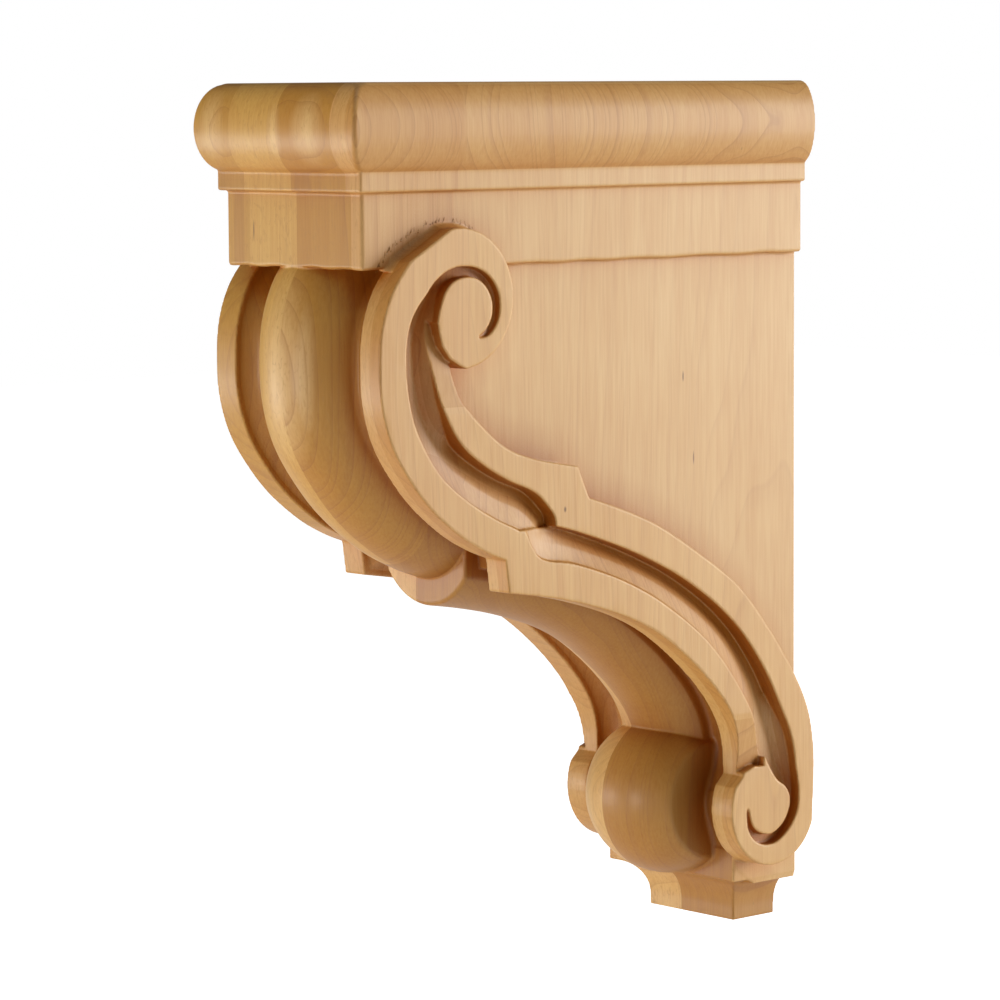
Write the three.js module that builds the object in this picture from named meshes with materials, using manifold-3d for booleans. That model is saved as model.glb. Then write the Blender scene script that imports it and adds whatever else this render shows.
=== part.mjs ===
// A carved maple bar bracket: a moulded top carries the bar, two scroll straps with a belly between them
// sweep back to a roll and a small coved plinth, and the flat back is fixed to the wall.
// Millimetres. X runs across the bracket, the wall plane is Y = 0 with the front towards -Y, and Z is up.
// The origin is the middle of the back face, where the bracket is fixed.
import * as THREE from 'three';
import { mergeVertices } from 'three/addons/utils/BufferGeometryUtils.js';
import Module from 'manifold-3d';

const wasm = await Module();
wasm.setup();

// Heights, from the top down
const height = 355.6;
const beadHeight = 35;
const filletHeight = 7;
const neckHeight = 29.3;
const plinthBandHeight = 14;
const coveHeight = 19.6;
const footEdgeHeight = 4.9;

// Widths and depths
const neckWidth = 82.6;
const neckDepth = 240.7;
const neckEase = 1.2;
const beadSideOverhang = 8.4;
const beadFrontOverhang = 10.4;
const beadTopOverhang = 1;
const filletOverhang = 2.6;
const panelWidth = 75.4;
const strapThickness = 12.8;
const footWidth = 51;
const footDepth = 24.7;
const coveReach = 12.5;

// The belly, tongue and roll between the straps: how far each stands proud of the straps' front edges
const bellyWidth = 54;
const bellyCrown = 10.5;
const bellyRound = 28;
const sweepWidth = 48;
const sweepCrown = 9;
const sweepRound = 29;
const rollWidth = 52;
const rollRadius = 34;
const rollRound = 40;

// The carving on the straps' faces
const grooveDepth = 8;
const tuckDepth = 4.5;

// Fineness of the facets
const curveSteps = 26;
const arcSteps = 18;
const ribSteps = 10;
const beadSteps = 12;
const coveSteps = 6;
const rollSteps = 12;
const rollSides = 36;
const grooveStepsEach = 3;
const clearOfFace = 3;
const rootDepth = 24;

const neckBottom = beadHeight + filletHeight + neckHeight;
const coveTop = height - coveHeight;
const panelSide = panelWidth / 2;
const strapFace = panelSide + strapThickness;

// The scroll is drawn at the size of the real one, and its reach and drop follow the neck and the plinth.
const drawnReach = 240.7;
const drawnTop = 71.3;
const drawnDrop = 264.7;
const reachScale = neckDepth / drawnReach;
const dropScale = (coveTop - neckBottom) / drawnDrop;

// A point of the side view, from its distance to the wall and its distance below the top
function at(forward, down) {
  return new THREE.Vector2(-forward, height / 2 - down);
}

function onScroll([forward, down]) {
  return at(forward * reachScale, neckBottom + (down - drawnTop) * dropScale);
}

function curveThrough(points, steps = curveSteps) {
  return new THREE.SplineCurve(points.map(onScroll)).getPoints(steps);
}

// An arc of the scroll: angles start towards the wall and turn upwards, in degrees
function arcAbout([forward, down], radius, from, to, steps = arcSteps) {
  return Array.from({ length: steps + 1 }, (_, i) => {
    const angle = THREE.MathUtils.degToRad(from + (to - from) * i / steps);
    return onScroll([forward - radius * Math.cos(angle), down - radius * Math.sin(angle)]);
  });
}

function toSolid(geometry) {
  geometry.deleteAttribute('normal');
  geometry.deleteAttribute('uv');
  const merged = mergeVertices(geometry, 1e-4);
  return new wasm.Manifold(new wasm.Mesh({
    numProp: 3,
    vertProperties: new Float32Array(merged.attributes.position.array),
    triVerts: new Uint32Array(merged.index.array),
  }));
}

function joined(solids) {
  return solids.reduce((whole, solid) => whole.add(solid));
}

// A side outline, given as [Y, Z] points, made solid between two X values
function acrossX(outline, fromX, toX) {
  const geometry = new THREE.ExtrudeGeometry(new THREE.Shape(outline), {
    depth: toX - fromX, bevelEnabled: false,
  });
  const sideView = new THREE.Matrix4().makeBasis(
    new THREE.Vector3(0, 1, 0), new THREE.Vector3(0, 0, 1), new THREE.Vector3(1, 0, 0));
  geometry.applyMatrix4(sideView);
  geometry.translate(fromX, 0, 0);
  return toSolid(geometry);
}

// A solid through rings of equally many points, each ring closed by a fan about its own middle
function loft(rings) {
  const size = rings[0].length;
  const points = rings.flat();
  const middles = [rings[0], rings.at(-1)].map((ring) => ring
    .reduce((sum, point) => sum.add(point), new THREE.Vector3())
    .divideScalar(size));
  const triangles = [];
  for (let ring = 0; ring + 1 < rings.length; ring += 1) {
    for (let i = 0; i < size; i += 1) {
      const a = ring * size + i;
      const b = ring * size + (i + 1) % size;
      triangles.push([a, b, b + size], [a, b + size, a + size]);
    }
  }
  const first = points.length;
  const lastRing = (rings.length - 1) * size;
  for (let i = 0; i < size; i += 1) {
    const next = (i + 1) % size;
    triangles.push([first, next, i], [first + 1, lastRing + i, lastRing + next]);
  }
  points.push(...middles);
  const volume = triangles.reduce((sum, [a, b, c]) =>
    sum + points[a].dot(new THREE.Vector3().crossVectors(points[b], points[c])), 0);
  const outward = volume > 0 ? triangles : triangles.map(([a, b, c]) => [a, c, b]);
  const geometry = new THREE.BufferGeometry().setFromPoints(points);
  geometry.setIndex(outward.flat());
  return toSolid(geometry);
}

// The direction to the right of a curve's travel at one of its points, in the side view
function rightOf(points, i) {
  const before = points[Math.max(i - 1, 0)];
  const after = points[Math.min(i + 1, points.length - 1)];
  const along = after.clone().sub(before).normalize();
  return new THREE.Vector2(along.y, -along.x);
}

// A solid of level rectangles against the wall. Each level is [down, half width, depth].
function levels(list) {
  return loft(list.map(([down, side, depth]) => [
    new THREE.Vector3(-side, 0, height / 2 - down),
    new THREE.Vector3(side, 0, height / 2 - down),
    new THREE.Vector3(side, -depth, height / 2 - down),
    new THREE.Vector3(-side, -depth, height / 2 - down),
  ]));
}

// Moulded top: a flat-topped bead along the front and both sides, a fillet and the plain neck
function mouldedTop() {
  const side = neckWidth / 2;
  const bead = Array.from({ length: beadSteps + 1 }, (_, i) => {
    const angle = Math.PI * i / beadSteps;
    const rise = Math.sin(angle);
    const start = i === 0 ? beadTopOverhang : 0;
    return [
      beadHeight * (1 - Math.cos(angle)) / 2,
      side + Math.max(beadSideOverhang * rise, start),
      neckDepth + Math.max(beadFrontOverhang * rise, start),
    ];
  });
  const filletBottom = beadHeight + filletHeight;
  const overlap = filletHeight / 2;
  return joined([
    levels(bead),
    levels([
      [beadHeight - overlap, side + filletOverhang, neckDepth + filletOverhang],
      [filletBottom, side + filletOverhang, neckDepth + filletOverhang],
    ]),
    levels([
      [beadHeight - overlap, side, neckDepth],
      [neckBottom - neckEase, side, neckDepth],
      [neckBottom, side - neckEase, neckDepth - neckEase],
    ]),
  ]);
}

// Plinth: a plain band, then a cove drawn in on the front and both sides to the foot
function plinth() {
  const side = footWidth / 2;
  const cove = Array.from({ length: coveSteps + 1 }, (_, i) => {
    const angle = Math.PI / 2 * i / coveSteps;
    const reach = coveReach * (1 - Math.sin(angle));
    return [
      coveTop + (coveHeight - footEdgeHeight) * (1 - Math.cos(angle)),
      side + reach,
      footDepth + reach,
    ];
  });
  return levels([
    [coveTop - plinthBandHeight, side + coveReach, footDepth + coveReach],
    ...cove,
    [height, side, footDepth],
  ]);
}

// The front edge of the upper scroll, from behind the neck down to the step under it
const upperFront = [
  [224.4, 68.4], [233.4, 80], [238.6, 94], [239.9, 110.5], [238.6, 125], [234, 139],
  [226, 151.5], [214.5, 164.5], [199, 176.4], [186, 183.3], [176, 187.1],
];
// The lower edge of the lower scroll, from the step back to the notch above its volute
const lowerEdge = [
  [174.2, 200.3], [152.3, 203.9], [131.6, 208.7], [109, 216], [89.2, 225.8],
  [69.7, 240.4], [54.9, 255.2], [47.2, 267.3], [44.4, 277], [43.7, 288.4],
];
// The back edge of both scrolls against the panel, broken by the step between them
const upperBack = [[202.4, 108.2], [200.5, 117], [195.8, 126], [178, 141], [161, 147.8], [137, 152.4]];
const lowerBack = [
  [131, 165.4], [113, 171.2], [92, 179.6], [68, 193.4], [46, 208.3], [27.2, 228.8],
  [13.4, 247.6], [5, 263.5], [1.6, 279], [1.2, 292],
];
const upperEye = [198.5, 83.5];
const upperEyeRadius = 27.4;
const upperEyeArc = [100, -72];
const underUpperEye = [195.8, 110.9];
const lowerEye = [25.5, 303];
const lowerEyeRadius = 25;
const lowerEyeArc = [-22, -204];

function strapOutline() {
  return [
    ...curveThrough(upperFront).reverse(),
    ...arcAbout(upperEye, upperEyeRadius, ...upperEyeArc),
    onScroll(underUpperEye),
    ...curveThrough(upperBack, arcSteps),
    ...curveThrough(lowerBack),
    ...arcAbout(lowerEye, lowerEyeRadius, ...lowerEyeArc),
    ...curveThrough(lowerEdge).reverse(),
  ];
}

// The body between the straps: behind the belly it stops at the floor of the channels on both sides
const floorInNeck = [208, 50];
const channelFloor = [
  [208, 60], [217.7, 73.6], [226, 84.1], [230.3, 95.8], [231.4, 110.5], [230.3, 123.3], [226.3, 135.4],
  [219.2, 146.3], [208.7, 158.3], [194.3, 169.3], [182.4, 175.6], [172, 180.5], [166.5, 185.5],
  [163.5, 191], [158, 194.4], [150.7, 195.6], [129.3, 200.5], [105.8, 208.1], [84.7, 218.6],
  [64.2, 233.9], [48.4, 249.7], [39.5, 263.6], [36, 275.6], [36.8, 287], [40, 296], [41.3, 303],
  [40, 311], [37, 320], [35.5, 330],
];

function core() {
  return acrossX([
    at(0, beadHeight),
    onScroll(floorInNeck),
    ...curveThrough(channelFloor, 2 * curveSteps),
    at(footDepth, coveTop),
    at(0, coveTop),
  ], -panelSide, panelSide);
}

// A rib with a rounded face along a curve, standing proud by its crown at the middle
function rib(path, width, crown, round) {
  return loft(path.map((point, i) => {
    const out = rightOf(path, i);
    const place = (x, proud) => new THREE.Vector3(x, point.x + out.x * proud, point.y + out.y * proud);
    const face = Array.from({ length: ribSteps + 1 }, (_, k) => {
      const x = width * (k / ribSteps - 0.5);
      return place(x, crown - round + Math.sqrt(round * round - x * x));
    });
    return [...face, place(width / 2, -rootDepth), place(-width / 2, -rootDepth)];
  }));
}

const intoTongue = [163, 190];

function belly() {
  return rib(curveThrough([...upperFront, intoTongue]), bellyWidth, bellyCrown, bellyRound);
}

function tongueAndSweep() {
  return rib(curveThrough(lowerEdge), sweepWidth, sweepCrown, sweepRound);
}

// The roll that ends the sweep, turned about an axis across the bracket
const rollMiddle = [38, 302];

function roll() {
  const half = rollWidth / 2;
  const profile = Array.from({ length: rollSteps + 1 }, (_, i) => {
    const along = half * (2 * i / rollSteps - 1);
    return new THREE.Vector2(rollRadius - rollRound + Math.sqrt(rollRound ** 2 - along ** 2), along);
  });
  const centre = onScroll(rollMiddle);
  const geometry = new THREE.LatheGeometry(
    [new THREE.Vector2(0, -half), ...profile, new THREE.Vector2(0, half)], rollSides);
  geometry.rotateZ(-Math.PI / 2);
  geometry.translate(0, centre.x, centre.y);
  return toSolid(geometry);
}

// A groove's stations: forward, down, width, then its depth beside the outer band and beside the inner
// band as shares of the groove depth. It runs from the eye's tip, or from its head, with the outer band
// to its right.
const upperGroove = [
  [188.9, 99, 1, 0.1, 0.1], [181.8, 92.4, 3.4, 0.4, 0.4], [180.1, 85.6, 4, 0.5, 0.5],
  [184.2, 77, 4, 0.5, 0.5], [197.2, 72.4, 4, 0.6, 0.6], [205.9, 77, 8.6, 0.75, 0.8],
  [213.6, 84, 9, 0.9, 0.95], [218.6, 92.2, 11.6, 1, 1], [219.8, 102, 13.6, 1, 1],
  [218.4, 115.5, 15, 1, 1], [214.4, 130, 15.4, 0.95, 1], [204.6, 145.2, 15.4, 0.62, 1],
  [191.6, 155.4, 15.6, 0.34, 1], [177.2, 163.2, 16, 0.22, 1], [164.5, 168.6, 16.6, 0.16, 1],
  [157.2, 175, 16, 0.12, 0.9],
];
const lowerGroove = [
  [163.6, 176.4, 3, 0.1, 0.2], [158.4, 179.6, 10, 0.15, 0.4], [152.6, 182, 14, 0.16, 0.6],
  [137.8, 185.2, 12.6, 0.16, 0.85], [115.3, 192.5, 12.2, 0.16, 1], [96, 200.7, 12.6, 0.16, 1],
  [80, 209.4, 13.6, 0.16, 1], [62.7, 221.2, 14.4, 0.18, 1], [48.7, 234.3, 15.2, 0.25, 1],
  [36.8, 249.8, 15.4, 0.45, 1], [29, 263.5, 15.4, 0.7, 1], [24.6, 277, 18, 0.85, 1],
  [20.4, 288.4, 17, 0.9, 1], [15.4, 296, 10, 0.85, 0.9], [13.4, 302, 6, 0.75, 0.75],
  [18.6, 312.2, 4.8, 0.6, 0.6], [29.9, 316.6, 4.6, 0.55, 0.55], [39.4, 310.6, 3.9, 0.4, 0.4],
  [41.4, 302, 1, 0.1, 0.1],
];

// Across a groove's floor, from its middle towards the inner band: [share of the width, share of the fall]
const floorMiddle = [0, 0.45];
const floorQuarter = [-0.3, 0.85];

function groove(stations) {
  const middle = curveThrough(stations, grooveStepsEach * stations.length);
  const measure = (column) => new THREE.SplineCurve(
    stations.map((station, i) => new THREE.Vector2(i, station[column])));
  const [widths, outers, inners] = [2, 3, 4].map(measure);
  return loft(middle.map((point, i) => {
    const share = i / (middle.length - 1);
    const right = rightOf(middle, i);
    const width = widths.getPoint(share).y;
    const outer = Math.min(outers.getPoint(share).y, 1) * grooveDepth;
    const inner = Math.min(inners.getPoint(share).y, 1) * grooveDepth;
    const place = (across, x) => new THREE.Vector3(
      x, point.x + right.x * across * width, point.y + right.y * across * width);
    const onFloor = ([across, fall]) => place(across, strapFace - outer - (inner - outer) * fall);
    return [
      place(0.5, strapFace + clearOfFace),
      onFloor([0.5, 0]),
      onFloor(floorMiddle),
      onFloor(floorQuarter),
      onFloor([-0.5, 1]),
      place(-0.5, strapFace + clearOfFace),
    ];
  }));
}

// Where a band runs in under a volute, its face sinks towards the volute's edge. The region is drawn on
// the scroll, and the face sinks from one height on the scroll to the other.
function tuck({ region, level, deep }) {
  const [flush, sunk] = [level, deep].map((down) => onScroll([0, down]).y);
  const slope = tuckDepth / (sunk - flush);
  const ends = region.map((point) => onScroll(point).y);
  const heights = [Math.min(...ends) - 1, Math.max(...ends) + 1];
  const depthAt = (z) => strapFace - slope * (z - flush);
  const wedge = loft([-neckDepth, 0].map((y) => [
    new THREE.Vector3(strapFace + 3 * clearOfFace, y, heights[0]),
    new THREE.Vector3(depthAt(heights[0]), y, heights[0]),
    new THREE.Vector3(depthAt(heights[1]), y, heights[1]),
    new THREE.Vector3(strapFace + 3 * clearOfFace, y, heights[1]),
  ]));
  const column = acrossX(region.map(onScroll), panelSide, strapFace + 2 * clearOfFace);
  return column.intersect(wedge);
}

const upperTuck = {
  region: [[215.5, 92], [213, 97.5], [208.8, 102.9], [202.6, 108], [190, 114], [186, 130], [222, 130]],
  level: 128,
  deep: 98,
};
const lowerTuck = {
  region: [
    [47.5, 292.6], [44, 290.6], [38, 286.8], [30.8, 285.2], [30, 260], [52, 260], [52, 292.6],
  ],
  level: 262,
  deep: 288,
};

function strap() {
  return acrossX(strapOutline(), panelSide - clearOfFace, strapFace)
    .subtract(groove(upperGroove))
    .subtract(groove(lowerGroove))
    .subtract(tuck(upperTuck))
    .subtract(tuck(lowerTuck));
}

function bracketSolid() {
  const near = strap();
  return joined([
    mouldedTop(), core(), belly(), tongueAndSweep(), roll(), plinth(), near, near.mirror([1, 0, 0]),
  ]);
}

function toGeometry(solid) {
  const mesh = solid.getMesh();
  const geometry = new THREE.BufferGeometry();
  geometry.setAttribute('position', new THREE.BufferAttribute(mesh.vertProperties, mesh.numProp));
  geometry.setIndex(new THREE.BufferAttribute(mesh.triVerts, 1));
  return geometry;
}

const maple = new THREE.MeshStandardMaterial({ color: '#d3a973', roughness: 0.42, metalness: 0 });

const bracket = new THREE.Mesh(toGeometry(bracketSolid()), maple);
bracket.name = 'bracket';

const object = new THREE.Group();
object.add(bracket);

export default object;
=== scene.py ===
# The looks of the carved maple bar bracket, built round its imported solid.
# Shapes are worked out in millimetres from the bracket's own sizes: X across, F forward from the wall and
# D down from the top. They are turned to the row frame, in metres, when a mesh is made.
import math

import bpy
import numpy as np
from mathutils import Matrix, Vector


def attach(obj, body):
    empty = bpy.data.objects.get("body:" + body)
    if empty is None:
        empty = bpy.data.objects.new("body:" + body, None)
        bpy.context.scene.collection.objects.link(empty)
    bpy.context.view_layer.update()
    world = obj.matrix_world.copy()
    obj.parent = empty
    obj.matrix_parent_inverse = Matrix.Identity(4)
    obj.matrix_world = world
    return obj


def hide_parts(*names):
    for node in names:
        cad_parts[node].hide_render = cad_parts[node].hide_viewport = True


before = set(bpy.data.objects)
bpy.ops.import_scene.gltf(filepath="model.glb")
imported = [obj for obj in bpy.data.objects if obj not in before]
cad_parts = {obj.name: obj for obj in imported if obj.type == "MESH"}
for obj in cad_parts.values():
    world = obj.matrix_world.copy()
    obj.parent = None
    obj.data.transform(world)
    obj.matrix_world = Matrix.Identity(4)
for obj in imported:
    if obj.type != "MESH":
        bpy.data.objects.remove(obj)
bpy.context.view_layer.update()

MM = 0.001

# Heights, widths and depths of the real bracket
HEIGHT = 355.6
BEAD_HEIGHT, FILLET_HEIGHT, NECK_BOTTOM = 35.0, 7.0, 71.3
PLINTH_TOP, COVE_TOP, FOOT_EDGE = 322.0, 336.0, 4.9
NECK_SIDE, NECK_DEPTH = 41.3, 240.7
BEAD_SIDE, BEAD_FRONT, FILLET_OUT = 8.4, 10.4, 2.6
PANEL_SIDE, STRAP_FACE = 37.7, 50.5
FOOT_SIDE, FOOT_DEPTH, COVE_REACH = 25.5, 24.7, 12.5
BELLY_SIDE, BELLY_CROWN, BELLY_ROUND = 27.0, 10.5, 28.0
SWEEP_SIDE, SWEEP_CROWN, SWEEP_ROUND = 24.0, 9.0, 29.0
ROLL_SIDE, ROLL_RADIUS, ROLL_ROUND = 26.0, 34.0, 40.0
ROLL_MIDDLE = (38.0, 302.0)
STEP_FORWARD = 174.2                # the front of the tongue
BELLY_TOP, BELLY_TAIL = 60.0, 8.0   # how high the belly starts, and how far it runs in behind the tongue
SWEEP_TOP, SWEEP_BOTTOM = 180.0, 316.0
GROOVE_DEPTH, TUCK_DEPTH, WALL_LEAN = 8.0, 4.5, 0.6
WALL_FLARE, FLARE_WIDTH = 1.7, 4.0  # where the cutter's rounded tip ran along the neck

# The scroll in the side view, as (forward, down)
UPPER_FRONT = [
    (224.4, 68.4), (233.4, 80), (238.6, 94), (239.9, 110.5), (238.6, 125), (234, 139),
    (226, 151.5), (214.5, 164.5), (199, 176.4), (186, 183.3), (176, 187.1),
]
LOWER_EDGE = [
    (174.2, 200.3), (152.3, 203.9), (131.6, 208.7), (109, 216), (89.2, 225.8),
    (69.7, 240.4), (54.9, 255.2), (47.2, 267.3), (44.4, 277), (43.7, 288.4),
]
UPPER_BACK = [(202.4, 108.2), (200.5, 117), (195.8, 126), (178, 141), (161, 147.8), (137, 152.4)]
LOWER_BACK = [
    (131, 165.4), (113, 171.2), (92, 179.6), (68, 193.4), (46, 208.3), (27.2, 228.8),
    (13.4, 247.6), (5, 263.5), (1.6, 279), (1.2, 292),
]
UPPER_EYE, UPPER_EYE_RADIUS, UNDER_UPPER_EYE = (198.5, 83.5), 27.4, (195.8, 110.9)
LOWER_EYE, LOWER_EYE_RADIUS = (25.5, 303), 25.0
CHANNEL_FLOOR = [
    (208, 60), (217.7, 73.6), (226, 84.1), (230.3, 95.8), (231.4, 110.5), (230.3, 123.3), (226.3, 135.4),
    (219.2, 146.3), (208.7, 158.3), (194.3, 169.3), (182.4, 175.6), (172, 180.5), (166.5, 185.5),
    (163.5, 191), (158, 194.4), (150.7, 195.6), (129.3, 200.5), (105.8, 208.1), (84.7, 218.6),
    (64.2, 233.9), (48.4, 249.7), (39.5, 263.6), (36, 275.6), (36.8, 287), (40, 296), (41.3, 303),
    (40, 311), (37, 320), (35.5, 330),
]
# The channels beside the belly, sweep and roll were cut with a round-ended cutter: the x of its middle, its
# radius, and how far the strap's solid part and the channel's own reach past each other
CHANNEL_MIDDLE, CHANNEL_ROUND = 30.0, 8.5
STRAP_LAP, CHANNEL_LAP = 0.4, 3.0
# A groove's stations: forward, down and width, then its depth beside the outer and beside the inner band,
# as a share of the full depth
UPPER_GROOVE = [
    (188.8, 98.6, 1, 0.1, 0.1), (184.6, 96.8, 2.6, 0.25, 0.25), (181, 92, 3.4, 0.33, 0.33),
    (180.2, 85.7, 3.8, 0.4, 0.4), (182, 80.4, 4, 0.42, 0.42), (186, 76, 3.9, 0.45, 0.45),
    (192, 73.4, 3.8, 0.48, 0.48), (198.8, 73.3, 4.4, 0.55, 0.55), (204.5, 75.1, 5.2, 0.65, 0.7),
    (209.4, 79, 6.7, 0.8, 0.85), (212.9, 84.3, 8.8, 0.9, 0.95), (215.8, 89.4, 11.6, 1, 1),
    (218.2, 95, 13, 1, 1), (219.4, 102.8, 13.8, 1, 1), (218.4, 115.5, 15, 1, 1),
    (214.4, 130, 15.4, 0.95, 1), (204.6, 145.2, 15.4, 0.62, 1),
    (191.6, 155.4, 15.6, 0.34, 1), (177.2, 163.2, 16, 0.22, 1), (164.5, 168.6, 16.6, 0.16, 1),
    (157.2, 175, 16, 0.12, 0.9),
]
UPPER_GROOVE_END = 175.8  # it ends in a step here, above the head of the lower one
LOWER_GROOVE = [
    (163.6, 176.4, 3, 0.1, 0.2), (158.4, 179.6, 10, 0.15, 0.4), (152.6, 182, 14, 0.16, 0.6),
    (137.8, 185.2, 12.6, 0.16, 0.85), (115.3, 192.5, 12.2, 0.16, 1), (96, 200.7, 12.6, 0.16, 1),
    (80, 209.4, 13.6, 0.16, 1), (62.7, 221.2, 14.4, 0.18, 1), (48.7, 234.3, 15.2, 0.25, 1),
    (36.8, 249.8, 15.4, 0.45, 1), (29, 263.5, 15.4, 0.7, 1), (23.6, 276, 17.4, 0.85, 1),
    (19, 286.8, 13.8, 0.9, 1), (15.1, 293.2, 8.2, 0.85, 0.9), (13.2, 299.4, 5.4, 0.75, 0.75),
    (13.9, 305.8, 5, 0.7, 0.7), (18.3, 312.3, 4.5, 0.6, 0.6), (25.8, 316.6, 4.4, 0.55, 0.55),
    (33.8, 315.6, 4.1, 0.5, 0.5), (39.3, 310.8, 2.8, 0.35, 0.35), (41, 303, 1, 0.1, 0.1),
]
# Where a band runs in under a volute: its region, and the heights where it is flush and where it is deep
UPPER_TUCK = (
    [(215.5, 90), (210.4, 92.5), (209.6, 97), (208.2, 101.6), (204.4, 106.5), (197, 110.8), (190, 114),
     (186, 130), (222, 130)],
    128, 98,
)
LOWER_TUCK = (
    [(48, 292.6), (44, 287.3), (37.3, 284.9), (31.4, 285.2), (30, 260), (52, 260), (52, 292.6)],
    262, 288,
)

# Where the router tore the grain, as lines of places across, forward and down: round the foot of the
# strap's wall on the neck, on the floor of the upper groove's end and at the head of the lower groove
TORN_WALL = [
    (233.8, 71.8), (229.4, 67), (224.9, 62.2), (219.3, 59.7), (213.8, 57.5), (209.2, 55.4), (204.7, 53.9),
    (199.6, 54.1), (194.4, 54.4), (189.3, 55.5), (182.6, 58.4),
]
TORN_PLACES = [
    [(NECK_SIDE, *point) for point in TORN_WALL],
    [(44.4, 172, 165), (44.0, 168, 168), (44.6, 163, 172.5)],
    [(47.6, 158, 177), (46.2, 153.5, 180), (45.6, 149.5, 182)],
]

# Radii that the cutters and the sanding left on the outer edges
BEAD_EDGE, NECK_EDGE, BLOCK_EDGE, COVE_EDGE, PANEL_EDGE = 1.6, 1.3, 0.7, 0.5, 0.5
BELLY_EDGE, TONGUE_EDGE, SWEEP_EDGE, ROLL_EDGE = 0.6, 1.4, 0.5, 1.0
STRAP_EDGE, CHANNEL_EDGE = 0.25, 0.8
# Radii of the inner corners where two forms meet
FILLET_CORNER, NECK_CORNER, PLINTH_CORNER = 0.6, 0.8, 1.2
CORE_CORNER, CARVED_CORNER = 2.5, 0.5

CELL = 0.6  # the grid that the carved surface is taken from
TRIANGLES_EACH_SIDE = 94000


def curve_through(points, steps=6):
    """The curve that the solid uses, through the points, with a few steps to each stretch."""
    p = np.array(points, float)
    last = len(p) - 1
    out = []
    for i in range(last):
        before, a, b, after = p[max(i - 1, 0)], p[i], p[i + 1], p[min(i + 2, last)]
        leave, arrive = (b - before) / 2, (after - a) / 2
        for t in np.arange(steps) / steps:
            cubic, square = 2 * a - 2 * b + leave + arrive, 3 * b - 3 * a - 2 * leave - arrive
            out.append(cubic * t ** 3 + square * t ** 2 + leave * t + a)
    return np.array(out + [p[last]])


def arc_about(middle, radius, start, end, steps=32):
    """Angles start towards the wall and turn upwards, in degrees."""
    angle = np.radians(np.linspace(start, end, steps + 1))
    return np.stack([middle[0] - radius * np.cos(angle), middle[1] - radius * np.sin(angle)], 1)


# The grid: one half of the bracket, with the middle plane halfway between its first two layers. F and D are
# flat, for the side view, and X3, F3 and D3 have three axes.
xs = np.arange(-0.5, 86.5) * CELL
fs = np.arange(-2, 422) * CELL
ds = np.arange(-2, 596) * CELL
F, D = np.meshgrid(fs, ds, indexing="ij")
X3 = np.abs(xs).astype(np.float32)[:, None, None]
F3 = fs.astype(np.float32)[None, :, None]
D3 = ds.astype(np.float32)[None, None, :]


def nearest_on(points):
    """For each place in the side view: distance to the line, how far along it, and which side of it."""
    best = np.full(F.shape, 1e9)
    along = np.zeros(F.shape)
    side = np.zeros(F.shape)
    for i, (a, b) in enumerate(zip(points[:-1], points[1:])):
        ab = b - a
        t = np.clip(((F - a[0]) * ab[0] + (D - a[1]) * ab[1]) / (ab @ ab), 0, 1)
        df, dd = F - a[0] - t * ab[0], D - a[1] - t * ab[1]
        dist = df * df + dd * dd
        closer = dist < best
        best = np.where(closer, dist, best)
        along = np.where(closer, i + t, along)
        side = np.where(closer, np.sign(df * ab[1] - dd * ab[0]), side)
    return np.sqrt(best), along, side


def region(points):
    """Signed distance to a closed outline in the side view, below zero inside it."""
    p = np.array(points, float)
    inside = np.zeros(F.shape, bool)
    for a, b in zip(p, np.roll(p, -1, 0)):
        if a[1] == b[1]:
            continue
        crosses = (a[1] > D) != (b[1] > D)
        inside ^= crosses & (F < (b[0] - a[0]) * (D - a[1]) / (b[1] - a[1]) + a[0])
    distance = nearest_on(np.concatenate([p, p[:1]]))[0]
    return np.where(inside, -distance, distance).astype(np.float32)


def overlap(a, b, ease=0.0):
    """What two forms share, with the edge between them eased to a radius."""
    if not ease:
        return np.maximum(a, b)
    return np.minimum(np.maximum(a, b), -ease) + np.hypot(np.maximum(a + ease, 0), np.maximum(b + ease, 0))


def together(a, b, ease=0.0):
    """Two forms grown together, with the inner corner between them filled to a radius."""
    if not ease:
        return np.minimum(a, b)
    return -overlap(-a, -b, ease)


def ellipse(u, v, half_u, half_v):
    """Distance to an ellipse, good close to its edge."""
    k = np.hypot(u / half_u, v / half_v)
    slope = np.hypot(u / half_u ** 2, v / half_v ** 2)
    return (k - 1) * k / np.maximum(slope, 1e-4)


def bead_profile(out, overhang):
    """The bead's half round edge: out is measured from the neck's face."""
    return ellipse(np.maximum(out, 0), D3 - BEAD_HEIGHT / 2, overhang, BEAD_HEIGHT / 2) + np.minimum(out, 0)


def block(side, depth, top, bottom, ease):
    """A plain block against the wall."""
    upright = np.maximum(top - D3, D3 - bottom)
    return overlap(overlap(X3 - side, F3 - depth, ease), upright, ease)


def moulded_top():
    side, front = bead_profile(X3 - NECK_SIDE, BEAD_SIDE), bead_profile(F3 - NECK_DEPTH, BEAD_FRONT)
    bead = overlap(side, front, BEAD_EDGE)
    bead = np.maximum(bead, np.maximum(-D3, D3 - BEAD_HEIGHT))
    hidden = 6  # the fillet's block starts this far up inside the bead
    fillet = block(NECK_SIDE + FILLET_OUT, NECK_DEPTH + FILLET_OUT,
                   BEAD_HEIGHT - hidden, BEAD_HEIGHT + FILLET_HEIGHT, BLOCK_EDGE)
    # The neck's lower edge was cut by hand round the scrolls, so it is not quite straight
    waver = 0.2 * np.sin(0.33 * X3 + 1) + 0.15 * np.sin(0.19 * F3 + 0.8 * np.sin(0.05 * F3))
    neck = block(NECK_SIDE, NECK_DEPTH, BEAD_HEIGHT, HEIGHT, NECK_EDGE)
    neck = overlap(neck, D3 - NECK_BOTTOM - waver, NECK_EDGE)
    return together(together(bead, fillet, FILLET_CORNER), neck, NECK_CORNER)


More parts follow.
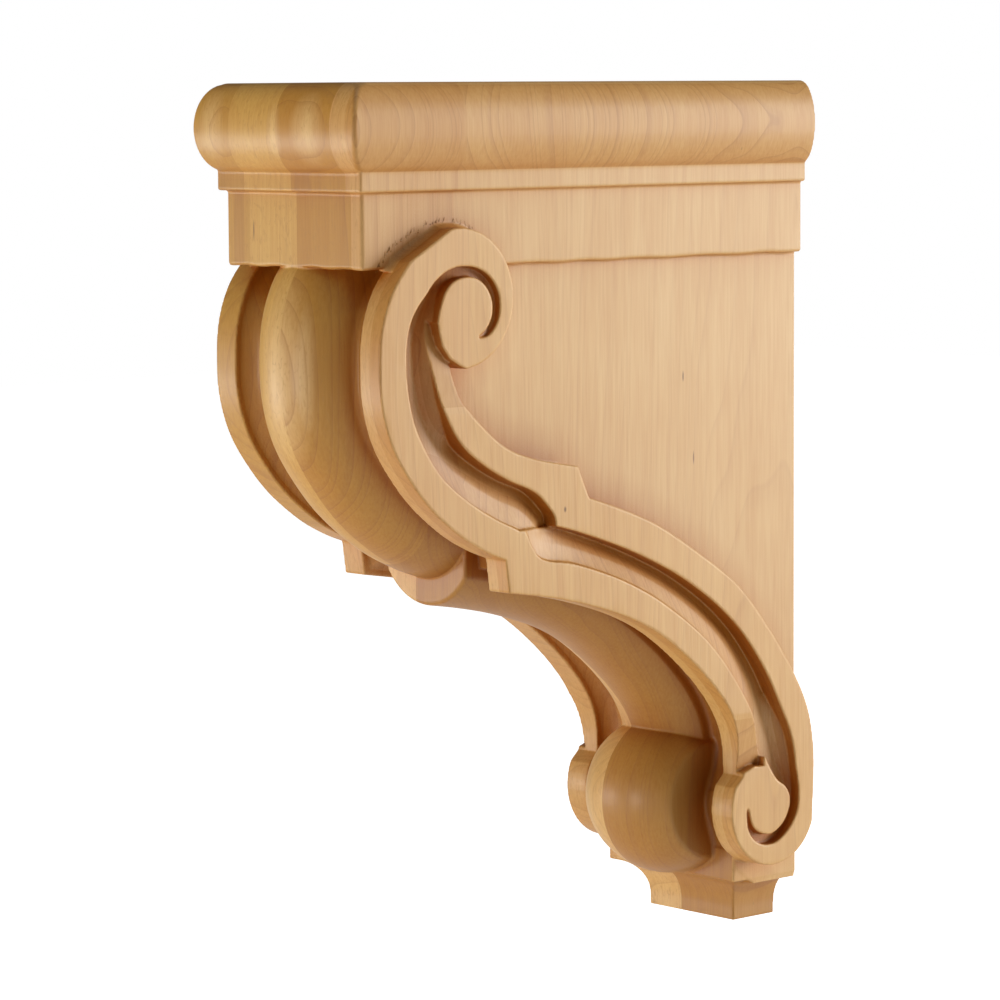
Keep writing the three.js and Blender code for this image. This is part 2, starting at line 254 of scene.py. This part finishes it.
def plinth():
    rise = np.minimum(D3 - (HEIGHT - FOOT_EDGE), 0)

    def outside_cove(out):
        hollow = ellipse(np.minimum(out - COVE_REACH, 0), rise, COVE_REACH, HEIGHT - FOOT_EDGE - COVE_TOP)
        return np.where(D3 > COVE_TOP, hollow, COVE_TOP - D3)

    form = block(FOOT_SIDE + COVE_REACH, FOOT_DEPTH + COVE_REACH, PLINTH_TOP, HEIGHT, BLOCK_EDGE)
    for out in (X3 - FOOT_SIDE, F3 - FOOT_DEPTH):
        form = overlap(form, -outside_cove(out), COVE_EDGE)
    return form


def rib(surface, crown, rounding):
    """A rounded rib over a surface of the side view, standing proud by its crown in the middle."""
    above = np.maximum(surface[None] - (crown - rounding), 0)
    return np.hypot(above, X3) - rounding


def belly():
    front = curve_through([(205, 44), *UPPER_FRONT, (163, 190), (150, 192)])
    form = rib(region(np.vstack([(150, 40), front, (140, 120)])), BELLY_CROWN, BELLY_ROUND)
    form = overlap(form, X3 - BELLY_SIDE, BELLY_EDGE)
    return np.maximum(np.maximum(form, STEP_FORWARD - BELLY_TAIL - F3), BELLY_TOP - D3)


def tongue_and_sweep():
    front = curve_through([(197, 197.6), *LOWER_EDGE, (44.5, 300), (47, 318)])
    form = rib(region(np.vstack([(197, 120), front, (0, 318), (0, 120)])), SWEEP_CROWN, SWEEP_ROUND)
    form = overlap(form, X3 - SWEEP_SIDE, SWEEP_EDGE)
    form = overlap(form, F3 - STEP_FORWARD, TONGUE_EDGE)
    return np.maximum(np.maximum(form, SWEEP_TOP - D3), D3 - SWEEP_BOTTOM)


def roll():
    out = np.hypot(F3 - ROLL_MIDDLE[0], D3 - ROLL_MIDDLE[1])
    form = np.hypot(np.maximum(out - (ROLL_RADIUS - ROLL_ROUND), 0), X3) - ROLL_ROUND
    return overlap(form, X3 - ROLL_SIDE, ROLL_EDGE)


def groove(stations):
    """A groove's region in the side view and the x of its floor there."""
    line = curve_through(stations, 5)
    distance, along, side = nearest_on(line[:, :2])
    step = np.arange(len(line))
    width = np.interp(along, step, line[:, 2])
    outer = np.interp(along, step, np.clip(line[:, 3], 0, 1)) * GROOVE_DEPTH
    inner = np.interp(along, step, np.clip(line[:, 4], 0, 1)) * GROOVE_DEPTH
    across = distance * side / width
    fall = np.interp(across, (-0.5, -0.3, 0, 0.5), (1, 0.85, 0.45, 0))
    # Where it is deep on both sides, the wall of the inner band leans back
    steep = np.clip(outer / GROOVE_DEPTH - 0.6, 0, 0.35) / 0.35
    lean = steep * np.interp(across, (-0.5, -0.15), (WALL_LEAN, 0))
    depth = (outer + (inner - outer) * fall) * (1 - lean)
    return (distance - width / 2).astype(np.float32), (STRAP_FACE - depth).astype(np.float32)


def strap():
    outline = np.concatenate([
        curve_through(UPPER_FRONT)[::-1],
        arc_about(UPPER_EYE, UPPER_EYE_RADIUS, 100, -72),
        [UNDER_UPPER_EYE],
        curve_through(UPPER_BACK),
        curve_through(LOWER_BACK),
        arc_about(LOWER_EYE, LOWER_EYE_RADIUS, -22, -204),
        curve_through(LOWER_EDGE)[::-1],
    ])
    profile = region(outline)[None]
    # Over the neck the foot of the wall flares
    near_neck = np.clip((NECK_SIDE + FLARE_WIDTH - X3) / FLARE_WIDTH, 0, 1)
    flare = WALL_FLARE * near_neck ** 2 * (D3 < NECK_BOTTOM + 1)
    form = overlap(profile - flare, X3 - STRAP_FACE, STRAP_EDGE)
    form = np.maximum(form, CHANNEL_MIDDLE + CHANNEL_ROUND - STRAP_LAP - X3)
    for stations, end in ((UPPER_GROOVE, UPPER_GROOVE_END), (LOWER_GROOVE, HEIGHT)):
        edge, floor = groove(stations)
        edge = np.maximum(edge, D - end).astype(np.float32)
        form = overlap(form, -np.maximum(edge[None], floor[None] - X3), STRAP_EDGE)
    for points, flush, deep in (UPPER_TUCK, LOWER_TUCK):
        sunk = (STRAP_FACE - TUCK_DEPTH * (D - flush) / (deep - flush)).astype(np.float32)
        form = np.maximum(form, -np.maximum(region(points)[None], sunk[None] - X3))
    # Beside the ribs the strap stands on the round-bottomed side of the channel
    round_cut = CHANNEL_ROUND - np.hypot(np.maximum(X3 - CHANNEL_MIDDLE, 0), profile)
    channel = np.maximum(profile, X3 - CHANNEL_MIDDLE - CHANNEL_ROUND - CHANNEL_LAP)
    return np.minimum(form, overlap(channel, round_cut, CHANNEL_EDGE))


def core():
    """What is left behind the ribs and between the straps: the panel, with the floors of the channels."""
    outline = np.vstack([(0, 30), (200, 30), curve_through(CHANNEL_FLOOR), (FOOT_DEPTH, 338), (0, 338)])
    return overlap(region(outline)[None], X3 - PANEL_SIDE, PANEL_EDGE)


def bracket_field():
    ribs = together(together(belly(), tongue_and_sweep(), CARVED_CORNER), roll(), CARVED_CORNER)
    body = together(core(), ribs, CORE_CORNER)
    body = together(body, moulded_top(), CARVED_CORNER)
    body = together(body, plinth(), PLINTH_CORNER)
    body = together(body, strap(), CARVED_CORNER)
    return np.maximum(body, -F3).astype(np.float32)


def surface_of(field):
    """The surface where a field on the grid is zero: one point in each cell that it passes through."""
    low = field < 0
    count = np.zeros([n - 1 for n in field.shape], np.int8)
    corners = [(i, j, k) for i in (0, 1) for j in (0, 1) for k in (0, 1)]
    for c in corners:
        count += low[tuple(slice(s, s + n - 1) for s, n in zip(c, field.shape))]
    cells = np.argwhere((count > 0) & (count < 8))
    total = np.zeros((len(cells), 3))
    hits = np.zeros(len(cells))
    for c in corners:
        for axis in range(3):
            if c[axis]:
                continue
            other = np.array(c)
            other[axis] = 1
            a = field[tuple((cells + c).T)]
            b = field[tuple((cells + other).T)]
            crossed = (a < 0) != (b < 0)
            share = np.where(crossed, a / np.where(crossed, a - b, 1), 0)
            place = cells + np.array(c, float)
            place[:, axis] += share
            total += place * crossed[:, None]
            hits += crossed
    points = total / hits[:, None]
    number = np.full(count.shape, -1, np.int32)
    number[tuple(cells.T)] = np.arange(len(cells))
    faces = []
    for axis in range(3):
        u, v = [(1, 2), (2, 0), (0, 1)][axis]
        start = [slice(1, n - 1) for n in field.shape]
        start[axis] = slice(0, field.shape[axis] - 1)
        end = list(start)
        end[axis] = slice(1, field.shape[axis])
        here, there = low[tuple(start)], low[tuple(end)]
        edges = np.argwhere(here != there)
        flip = here[tuple(edges.T)]
        offset = np.ones(3, int)
        offset[axis] = 0
        at = edges + offset
        step_u, step_v = np.eye(3, dtype=int)[u], np.eye(3, dtype=int)[v]
        ring = np.stack([number[tuple((at - du * step_u - dv * step_v).T)]
                         for du, dv in ((1, 1), (0, 1), (0, 0), (1, 0))], 1)
        ring[~flip] = ring[~flip][:, ::-1]
        faces.append(ring)
    return points, np.concatenate(faces)


def to_row(p):
    """Millimetres across, forward and down, to metres in the row frame."""
    return np.stack([p[:, 0], -p[:, 1], HEIGHT / 2 - p[:, 2]], 1) * MM


def mesh_of(name, points, faces):
    mesh = bpy.data.meshes.new(name)
    mesh.from_pydata(points.tolist(), [], faces.tolist())
    mesh.validate()
    mesh.update()
    return mesh


def finished(obj, *modifiers):
    """Puts modifiers on an object, each a kind and its settings, and makes their result its mesh."""
    for kind, settings in modifiers:
        modifier = obj.modifiers.new(kind, kind)
        for key, value in settings.items():
            setattr(modifier, key, value)
    bpy.context.view_layer.update()
    made = bpy.data.meshes.new_from_object(obj.evaluated_get(bpy.context.evaluated_depsgraph_get()))
    obj.modifiers.clear()
    obj.data = made
    return obj


def put(name, mesh):
    obj = bpy.data.objects.new(name, mesh)
    bpy.context.scene.collection.objects.link(obj)
    return obj


def carved_half():
    """The points and triangles of one side, thinned out where the surface is flat."""
    points, faces = surface_of(bracket_field())
    place = to_row(np.stack([points[:, 0] * CELL + xs[0], points[:, 1] * CELL + fs[0],
                             points[:, 2] * CELL + ds[0]], 1))
    half = put("half", mesh_of("half", place, faces))
    ratio = TRIANGLES_EACH_SIDE / (2 * len(faces))
    finished(half, ("DECIMATE", {"ratio": ratio}))
    count = len(half.data.vertices)
    p = np.empty(count * 3)
    half.data.vertices.foreach_get("co", p)
    p = p.reshape(-1, 3)
    half.data.calc_loop_triangles()
    t = np.empty(len(half.data.loop_triangles) * 3, np.int32)
    half.data.loop_triangles.foreach_get("vertices", t)
    bpy.data.objects.remove(half)
    return p, t.reshape(-1, 3)


def whole_from_half(p, t):
    """Adds the other side, sharing the points of the middle plane."""
    middle = np.abs(p[:, 0]) < 0.25 * CELL * MM
    p[middle, 0] = 0
    number = np.arange(len(p))
    extra = ~middle
    number[extra] = len(p) + np.arange(extra.sum())
    mirrored = p[extra] * (-1, 1, 1)
    return np.concatenate([p, mirrored]), np.concatenate([t, number[t][:, ::-1]])


def bracket_mesh():
    p, t = whole_from_half(*carved_half())
    mesh = mesh_of("bracket_carved", p, t)
    volume = np.einsum("ij,ij->i", p[t[:, 0]], np.cross(p[t[:, 1]], p[t[:, 2]])).sum()
    if volume < 0:
        mesh.flip_normals()
    mesh.shade_smooth()
    obj = put("bracket_carved", mesh)
    return finished(obj, ("WEIGHTED_NORMAL", {"mode": "FACE_AREA", "weight": 90, "keep_sharp": False}))


def linear(code):
    """An sRGB hex colour as the linear values that a shader takes."""
    channels = [int(code[i:i + 2], 16) / 255 for i in (1, 3, 5)]
    return tuple(c / 12.92 if c <= 0.04045 else ((c + 0.055) / 1.055) ** 2.4 for c in channels) + (1,)


def add(tree, kind, inputs=(), **settings):
    """Adds a node: its settings by name, then its inputs as values or as the outputs of other nodes."""
    node = tree.nodes.new(kind)
    for name, value in settings.items():
        setattr(node, name, value)
    for key, value in dict(inputs).items():
        if isinstance(value, bpy.types.NodeSocket):
            tree.links.new(value, node.inputs[key])
        else:
            node.inputs[key].default_value = value
    return node


def maths(tree, operation, *values):
    """The result of a Math node on values or on the outputs of other nodes."""
    return add(tree, "ShaderNodeMath", dict(enumerate(values)), operation=operation).outputs[0]


def vector_maths(tree, operation, *values):
    node = add(tree, "ShaderNodeVectorMath", dict(enumerate(values)), operation=operation)
    return node.outputs["Value" if operation == "LENGTH" else "Vector"]


def spread(tree, value, low, high, start=0.0, end=1.0):
    """Stretches the part of a value from low to high over the range from start to end."""
    return add(tree, "ShaderNodeMapRange", {0: value, 1: low, 2: high, 3: start, 4: end}).outputs[0]


def stretched(tree, at, scale):
    return add(tree, "ShaderNodeMapping", {"Vector": at, "Scale": scale}).outputs[0]


def noise(tree, at, scale, detail):
    return add(tree, "ShaderNodeTexNoise", {"Vector": at, "Scale": scale, "Detail": detail})


def mixed(tree, share, base, tint, blend="MIX"):
    colours = {0: share, 6: base, 7: tint}
    return add(tree, "ShaderNodeMix", colours, data_type="RGBA", blend_type=blend).outputs[2]


def new_material(name):
    """A material with its node tree and its main shader."""
    material = bpy.data.materials.new(name)
    material.use_nodes = True
    return material, material.node_tree, material.node_tree.nodes["Principled BSDF"]


# The block is glued up from upright staves, in rows with joints at these distances from the wall. Rows are
# given from the wall forward, and each stave by its right-hand edge across, its colour under the lacquer,
# where the middle of the tree was for it (across and forward) and how strongly its rings show.
ROW_JOINTS = (135.0, 194.0)
INNER_STAVES = [
    (-33, "#CDA46C", (-240, 250), 0.6), (-6, "#D9B680", (-18, 600), 0.5), (37, "#B38543", (240, 20), 1.0),
]
STAVES = [
    [*INNER_STAVES, (44, "#D1AC76", (-140, 10), 0.25), (50.1, "#C89C60", (-140, 10), 0.9),
     (99, "#CFA66C", (-140, 10), 0.4)],
    [*INNER_STAVES, (44, "#D1AC76", (-140, 205), 0.25), (50.1, "#C89C60", (-140, 205), 0.9),
     (99, "#CFA66C", (-140, 205), 0.4)],
    [(-27, "#C29953", (-37, 400), 0.8), (2, "#CEA762", (200, 240), 0.3), (35, "#BB8D45", (23, 360), 1.0),
     (44, "#CEA56E", (120, 253), 0.6), (50.1, "#C4965A", (120, 253), 0.9),
     (99, "#CFA56D", (120, 253), 0.5)],
]
# Soft pale places, matched in place and size: three on the front of the bead, in the wood where its round
# cuts into a stave's rings, and two down the belly, which are a painted highlight, the lacquer's sheen
PALE_FIGURE_AND_PAINTED_HIGHLIGHTS = [
    (21, 251, 159.5, 17, 27), (-38, 249, 161, 13, 25), (1, 251, 158, 7, 22), (12, 246, 67, 9, 48),
    (2, 249, 66, 22, 80),
]
RING_WIDTH = 0.0036  # maple grows its rings about this far apart
# Pin knots and mineral streaks that show: across, forward, up from the middle, then width and length in mm
MARKS = [
    (50.5, 144.3, 8.6, 1.3, 2.3), (48, 36.3, 166.4, 1.2, 1.8), (48.5, 42.2, 149.2, 1.2, 2.6),
    (49.3, 32.3, 151.6, 0.9, 1.6), (-24.4, 240.7, 120.5, 0.7, 7.5), (50.5, 68.6, -32.4, 0.8, 2.4),
    (26, 12.5, -172.2, 1.0, 2.4), (37.7, 66, 57, 0.8, 4.2), (37.7, 60, 23, 0.7, 5.2),
]


def by_stave(tree, x, forward, column):
    """A value for each stave of the glued-up block: its colour, or its heart and how its rings show."""
    place = spread(tree, x, -STRAP_FACE * MM, STRAP_FACE * MM)
    chosen = None
    for row, joint in zip(STAVES, (0, *ROW_JOINTS)):
        ramp = add(tree, "ShaderNodeValToRGB", {0: place})
        ramp.color_ramp.interpolation = "CONSTANT"
        stops = ramp.color_ramp.elements
        start = 0.0
        for i, (right_edge, colour, heart, rings) in enumerate(row):
            stop = stops[0] if i == 0 else stops.new(start)
            stop.color = linear(colour) if column == "colour" else (*heart, rings, 1)
            start = (right_edge / STRAP_FACE + 1) / 2
        stops.remove(stops[-1])
        if not chosen:
            chosen = ramp.outputs[0]
            continue
        beyond = maths(tree, "GREATER_THAN", forward, joint * MM)
        chosen = mixed(tree, beyond, chosen, ramp.outputs[0])
    return chosen


def growth_rings(tree, at, z, heart):
    """Dark lines round each stave's own heart, which leans a little from upright, from 0 to 1."""
    middle = vector_maths(tree, "MULTIPLY", heart, (MM, -MM, 0))
    lean = vector_maths(tree, "SUBTRACT", at, middle)
    wave = noise(tree, stretched(tree, at, (1, 1, 0.22)), 16.0, 2.0).outputs["Color"]
    wave = vector_maths(tree, "MULTIPLY_ADD", wave, (0.026, 0.026, 0), lean)
    radius = vector_maths(tree, "LENGTH", stretched(tree, wave, (1, 1, 0)))
    radius = maths(tree, "MULTIPLY_ADD", z, 0.035, radius)
    uneven = add(tree, "ShaderNodeTexNoise", {"W": radius, "Scale": 160.0, "Detail": 1.0},
                 noise_dimensions="1D").outputs[0]
    phase = maths(tree, "DIVIDE", radius, RING_WIDTH)
    phase = maths(tree, "FRACT", maths(tree, "MULTIPLY_ADD", uneven, 2.2, phase))
    ring = add(tree, "ShaderNodeValToRGB", {0: phase})
    ring.color_ramp.interpolation = "EASE"
    for place, value in ((0.55, 0.06), (0.86, 0.5), (0.94, 1.0)):
        ring.color_ramp.elements.new(place).color = (value, value, value, 1)
    ring.color_ramp.elements[0].color = (0.0, 0.0, 0.0, 1)
    ring.color_ramp.elements[-1].color = (0.0, 0.0, 0.0, 1)
    return ring.outputs[0]


def spots(tree, at, places, edge, middle, most):
    """Soft oval spots at places: nothing at edge, and the most at middle, both in half widths."""
    spot = 0.0
    for across, out, up, width, length in places:
        size = (2 / width / MM, 2 / width / MM, 2 / length / MM)
        place = tuple(-c * k * MM for c, k in zip((across, -out, up), size))
        near = vector_maths(tree, "LENGTH", vector_maths(tree, "MULTIPLY_ADD", at, size, place))
        spot = maths(tree, "MAXIMUM", spread(tree, near, edge, middle, 0.0, most), spot)
    return spot


def maple():
    """Hard maple glued up from staves, carved and sanded, under a clear satin lacquer. It is pale and even,
    with fine brown ring lines, faint streaks along the grain and short ray flecks on the front."""
    material, tree, shader = new_material("maple_satin_lacquer")
    at = add(tree, "ShaderNodeTexCoord").outputs["Object"]
    x, y, z = add(tree, "ShaderNodeSeparateXYZ", {0: at}).outputs
    forward = maths(tree, "MULTIPLY", y, -1.0)
    heart = by_stave(tree, x, forward, "heart")
    strength = add(tree, "ShaderNodeSeparateXYZ", {0: heart}).outputs[2]
    strength = maths(tree, "MULTIPLY", strength, 0.5)
    rings = maths(tree, "MULTIPLY", growth_rings(tree, at, z, heart), strength)

    # Streaks along the grain, broad ones about 6 mm wide and fine ones under a millimetre, and soft clouds
    long_grain = stretched(tree, at, (1, 1, 0.035))
    broad = spread(tree, noise(tree, long_grain, 150.0, 3.0).outputs[0], 0.3, 0.7, 0.0, 0.28)
    fine = spread(tree, noise(tree, long_grain, 1100.0, 2.0).outputs[0], 0.35, 0.75, 0.0, 0.4)
    cloud = spread(tree, noise(tree, at, 22.0, 2.0).outputs[0], 0.3, 0.7, 0.0, 0.35)

    # Ray flecks, 1 mm wide and 3 mm long, where the surface faces forwards
    facing = add(tree, "ShaderNodeNewGeometry").outputs["Normal"]
    facing_x, facing_y, facing_z = add(tree, "ShaderNodeSeparateXYZ", {0: facing}).outputs
    fleck = noise(tree, stretched(tree, at, (1, 0.5, 0.34)), 950.0, 1.0)
    fleck.inputs["Distortion"].default_value = 0.8
    fleck = spread(tree, fleck.outputs[0], 0.56, 0.72)
    fleck = maths(tree, "MULTIPLY", fleck, maths(tree, "ABSOLUTE", facing_y))

    # Painted shade, its tints matched: all but the flat sides are a little yellower, faces underneath are
    # deeper, and the inner corners are darker and deeper where the shade falls in them
    painted_shade_off_side = spread(tree, maths(tree, "ABSOLUTE", facing_x), 0.95, 0.35)
    painted_underside_shade = spread(tree, facing_z, -0.2, -1.0, 0.0, 0.35)
    open_share = add(tree, "ShaderNodeAmbientOcclusion", {"Distance": 0.018}, samples=4).outputs["AO"]
    painted_corner_shade = spread(tree, open_share, 0.84, 0.56)

    colour = by_stave(tree, x, forward, "colour")
    for share, tint, blend in (
        # Pale figure on the bead, and a painted highlight down the belly
        (spots(tree, at, PALE_FIGURE_AND_PAINTED_HIGHLIGHTS, 1.3, 0.0, 0.75), "#E4C79C", "MIX"),
        (rings, "#A27141", "MIX"),
        (broad, "#EBD9BF", "MULTIPLY"),
        (fine, "#E6CFAF", "MULTIPLY"),
        (cloud, "#F2E2CB", "MULTIPLY"),
        (maths(tree, "MULTIPLY", fleck, 0.4), "#A97C42", "MIX"),
        # Painted shade: yellower off the flat sides, deeper underneath, darker in the inner corners
        (painted_shade_off_side, "#FFF6DC", "MULTIPLY"),
        (painted_underside_shade, "#E3C596", "MULTIPLY"),
        (painted_corner_shade, "#D8A850", "MULTIPLY"),
        (spots(tree, at, MARKS, 1.25, 0.5, 1.0), "#7A5530", "MIX"),
    ):
        colour = mixed(tree, share, colour, linear(tint), blend)
    tree.links.new(colour, shader.inputs["Base Color"])

    # The lacquer is thin, so the open grain still shows in it
    bump = add(tree, "ShaderNodeBump", {"Strength": 0.12, "Distance": 0.0003,
                                        "Height": maths(tree, "ADD", fine, fleck)}, invert=True)
    tree.links.new(bump.outputs[0], shader.inputs["Normal"])
    shader.inputs["Roughness"].default_value = 0.55
    shader.inputs["Specular IOR Level"].default_value = 0.2
    shader.inputs["Coat Weight"].default_value = 0.3
    shader.inputs["Coat Roughness"].default_value = 0.32
    return material


def torn_maple():
    """Raw maple fibres lifted by the router, darkened by the lacquer and by painted shade, with pale chips.
    """
    material, tree, shader = new_material("torn_maple_fibres")
    at = add(tree, "ShaderNodeTexCoord").outputs["Object"]
    chips = noise(tree, at, 900.0, 1.0).outputs[0]
    tone = add(tree, "ShaderNodeValToRGB", {0: chips})
    # Dark browns partly painted shade, for the ragged shading along the torn places; pale ones are chips
    for place, colour in ((0.42, "#87602F"), (0.6, "#A97D45"), (0.7, "#D9B88A")):
        tone.color_ramp.elements.new(place).color = linear(colour)
    tone.color_ramp.elements[0].color = linear("#6E4B24")
    tone.color_ramp.elements[-1].color = linear("#DFC298")
    tree.links.new(tone.outputs[0], shader.inputs["Base Color"])
    grain = add(tree, "ShaderNodeBump", {"Strength": 0.3, "Filter Width": 0.0002, "Height": chips})
    tree.links.new(grain.outputs[0], shader.inputs["Normal"])
    shader.inputs["Roughness"].default_value = 0.85
    return material


# The slivers of torn grain, in metres
FIBRES = {"Spacing": 0.0004, "Length": 0.0015, "Thickness": 0.00015, "Seed": 7}


def fibre_tree(material):
    """Geometry Nodes: thin slivers along each torn place, standing along the grain and leaning a little."""
    tree = bpy.data.node_groups.new("torn_fibres", "GeometryNodeTree")
    face = tree.interface
    face.new_socket("Geometry", in_out="INPUT", socket_type="NodeSocketGeometry")
    for name, value in FIBRES.items():
        kind = "NodeSocketInt" if isinstance(value, int) else "NodeSocketFloat"
        face.new_socket(name, in_out="INPUT", socket_type=kind)
    face.new_socket("Geometry", in_out="OUTPUT", socket_type="NodeSocketGeometry")
    given = add(tree, "NodeGroupInput").outputs

    def any_between(low, high):
        return add(tree, "FunctionNodeRandomValue", {0: low, 1: high, "Seed": given["Seed"]},
                   data_type="FLOAT_VECTOR").outputs[0]

    points = add(tree, "GeometryNodeCurveToPoints",
                 {"Curve": given["Geometry"], "Length": given["Spacing"]}, mode="LENGTH").outputs["Points"]
    jitter = any_between((-0.0002, -0.0006, -0.0009), (0.0001, 0.0006, 0.0005))
    points = add(tree, "GeometryNodeSetPosition", {"Geometry": points, "Offset": jitter}).outputs[0]
    sliver = add(tree, "GeometryNodeMeshCone", {
        "Vertices": 4, "Radius Top": 0.0, "Radius Bottom": given["Thickness"], "Depth": given["Length"],
    }).outputs["Mesh"]
    slivers = add(tree, "GeometryNodeInstanceOnPoints", {
        "Points": points, "Instance": sliver,
        "Rotation": any_between((-0.35, -0.2, 0.0), (0.35, 0.2, 3.1)),
        "Scale": any_between((0.5, 0.5, 0.25), (1.3, 1.3, 1.5)),
    }).outputs[0]
    whole = add(tree, "GeometryNodeRealizeInstances", {"Geometry": slivers}).outputs[0]
    done = add(tree, "GeometryNodeSetMaterial", {"Geometry": whole, "Material": material}).outputs[0]
    add(tree, "NodeGroupOutput", {0: done})
    return tree


def torn_fibres():
    """The slivers along the torn places of both sides, as one mesh."""
    curve = bpy.data.curves.new("torn_places", "CURVE")
    curve.dimensions = "3D"
    for place in TORN_PLACES:
        for side in (1, -1):
            line = to_row(np.array(place) * (side, 1, 1))
            spline = curve.splines.new("POLY")
            spline.points.add(len(line) - 1)
            for point, position in zip(spline.points, line):
                point.co = (*position, 1)
    source = put("torn_places", curve)
    modifier = source.modifiers.new("torn_fibres", "NODES")
    modifier.node_group = fibre_tree(torn_maple())
    for item in modifier.node_group.interface.items_tree:
        if item.name in FIBRES:
            modifier[item.identifier] = FIBRES[item.name]
    bpy.context.view_layer.update()
    mesh = bpy.data.meshes.new_from_object(source.evaluated_get(bpy.context.evaluated_depsgraph_get()))
    source.modifiers.clear()
    bpy.data.objects.remove(source)
    return put("torn_fibres", mesh)


def camera():
    """The photo's camera: to the right of the bracket's front, above its middle, with a long lens."""
    azimuth, down, roll_angle = 48.0646, 5.6938, 0.3702
    data = bpy.data.cameras.new("camera")
    data.lens = 147.15
    data.sensor_width = 36
    data.clip_start, data.clip_end = 0.05, 50
    obj = put("camera", data)
    obj.location = (1.23462, -1.24285, 0.17355)
    turn = Matrix.Rotation(math.radians(azimuth), 4, "Z") @ Matrix.Rotation(math.radians(90 - down), 4, "X")
    obj.rotation_euler = (turn @ Matrix.Rotation(math.radians(-roll_angle), 4, "Z")).to_euler()
    bpy.context.scene.camera = obj


def softbox(name, azimuth, elevation, distance, size, power):
    """A square light aimed at the bracket. Azimuth 0 is in front of it and 90 on its right side."""
    light = bpy.data.lights.new(name, "AREA")
    light.shape = "RECTANGLE"
    light.size, light.size_y = size
    light.energy = power
    obj = put(name, light)
    a, e = math.radians(azimuth), math.radians(elevation)
    out = Vector((math.sin(a) * math.cos(e), -math.cos(a) * math.cos(e), math.sin(e)))
    obj.location = Vector((0, -0.12, 0)) + out * distance
    obj.rotation_euler = out.to_track_quat("Z", "Y").to_euler()


def brighter_to_camera(tree, socket, light, seen):
    """Sets how strongly something glows: as light on the bracket, and as seen by the camera."""
    direct = add(tree, "ShaderNodeLightPath").outputs["Is Camera Ray"]
    tree.links.new(spread(tree, direct, 0.0, 1.0, light, seen), socket)


def pale_floor():
    side, drop = 6, -0.45
    corners = np.array([(-side, -side, drop), (side, -side, drop), (side, side, drop), (-side, side, drop)])
    floor = put("floor", mesh_of("floor", corners, np.array([(0, 1, 2, 3)])))
    paint, tree, shader = new_material("pale_floor")
    shader.inputs["Base Color"].default_value = linear("#F4F4F4")
    shader.inputs["Roughness"].default_value = 0.9
    shader.inputs["Emission Color"].default_value = (1, 1, 1, 1)
    brighter_to_camera(tree, shader.inputs["Emission Strength"], 0.4, 0.95)
    floor.data.materials.append(paint)
    return floor


def studio():
    """A white room, dim but for the camera, with a big light on the right and small ones on the left."""
    world = bpy.data.worlds.new("studio")
    world.use_nodes = True
    background = world.node_tree.nodes["Background"]
    background.inputs["Color"].default_value = (1, 1, 1, 1)
    brighter_to_camera(world.node_tree, background.inputs["Strength"], 0.11, 1.0)
    bpy.context.scene.world = world
    bpy.context.scene.view_settings.view_transform = "Standard"
    softbox("right_side", 146, 3, 4.0, (1.9, 2.6), 212)
    softbox("left_side", -50, -20, 1.7, (0.8, 1.1), 26)
    softbox("left_strip", -8, -12, 2.0, (0.25, 1.0), 19)
    softbox("front", 18, -8, 2.4, (0.6, 1.2), 3.5)
    softbox("above", 60, 80, 2.4, (1.6, 1.6), 11)
    floor = pale_floor()


camera()
studio()
bracket = bracket_mesh()
bracket.data.materials.clear()
bracket.data.materials.append(maple())
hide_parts("bracket")
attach(bracket, "root")

fibres = torn_fibres()
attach(fibres, "root")
